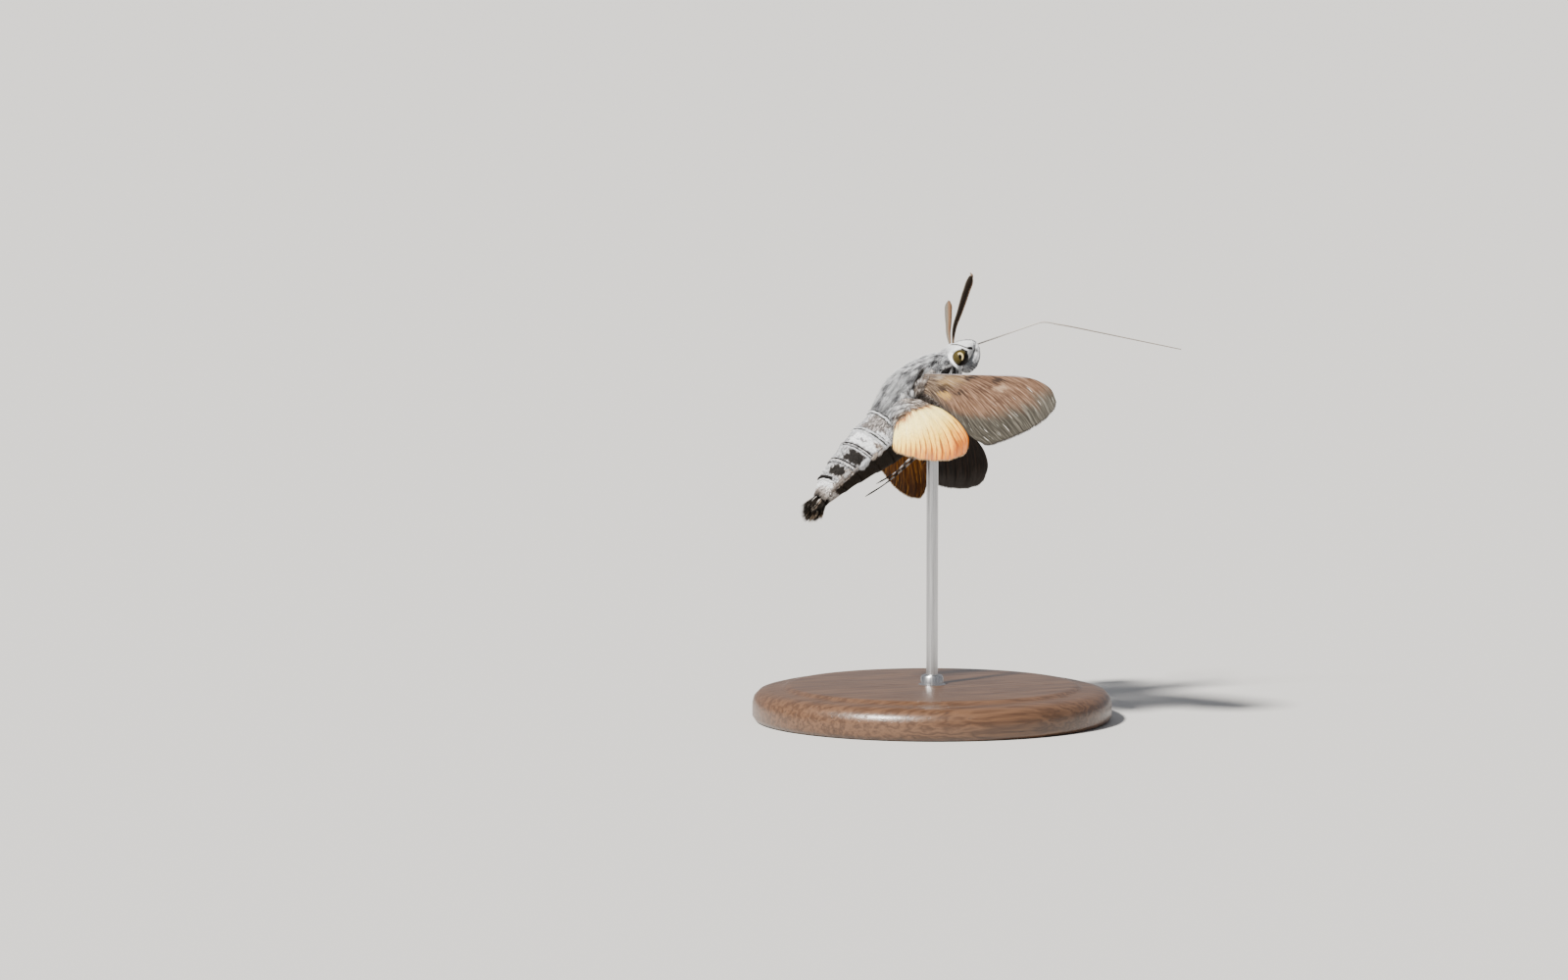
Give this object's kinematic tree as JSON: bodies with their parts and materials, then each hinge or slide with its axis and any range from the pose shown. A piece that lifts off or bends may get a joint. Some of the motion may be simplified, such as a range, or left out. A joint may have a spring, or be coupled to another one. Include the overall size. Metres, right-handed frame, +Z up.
{
  "type": "hummingbird hawk moth model",
  "caption": "Still model of a hummingbird hawk moth hovering with its tongue out, held over a round base by a rod.",
  "frame": {"origin": "middle of the underside of the round base", "axes": "+Z up, +X the way the moth heads, so its left side is towards +Y"},
  "size_m": [0.0491, 0.0413, 0.0499],
  "materials": {
    "white_scales": "matte",
    "grey_fur": "matte",
    "tail_black": "matte",
    "forewing_scales": "matte",
    "hindwing_scales": "matte",
    "eye": "gloss",
    "horn": "matte",
    "leg_scales": "matte",
    "base_wood": "satin",
    "rod_steel": "satin"
  },
  "bodies": {
    "root": {"head": "white_scales", "palp_right": "white_scales", "palp_left": "white_scales", "eye_right": "eye", "eye_left": "eye", "antenna_right": "horn", "antenna_left": "horn", "proboscis": "horn", "proboscis_tip": "horn", "thorax": "grey_fur", "abdomen_front": "grey_fur", "abdomen_rear": "grey_fur", "tail_fan": "tail_black", "forewing_right": "forewing_scales", "forewing_left": "forewing_scales", "hindwing_right": "hindwing_scales", "hindwing_left": "hindwing_scales", "foreleg_right": "leg_scales", "foreleg_left": "leg_scales", "midleg_right": "leg_scales", "midleg_left": "leg_scales", "hindleg_right": "leg_scales", "hindleg_left": "leg_scales", "stand_base": "base_wood", "stand_rod": "rod_steel"}
  },
  "joints": []
}
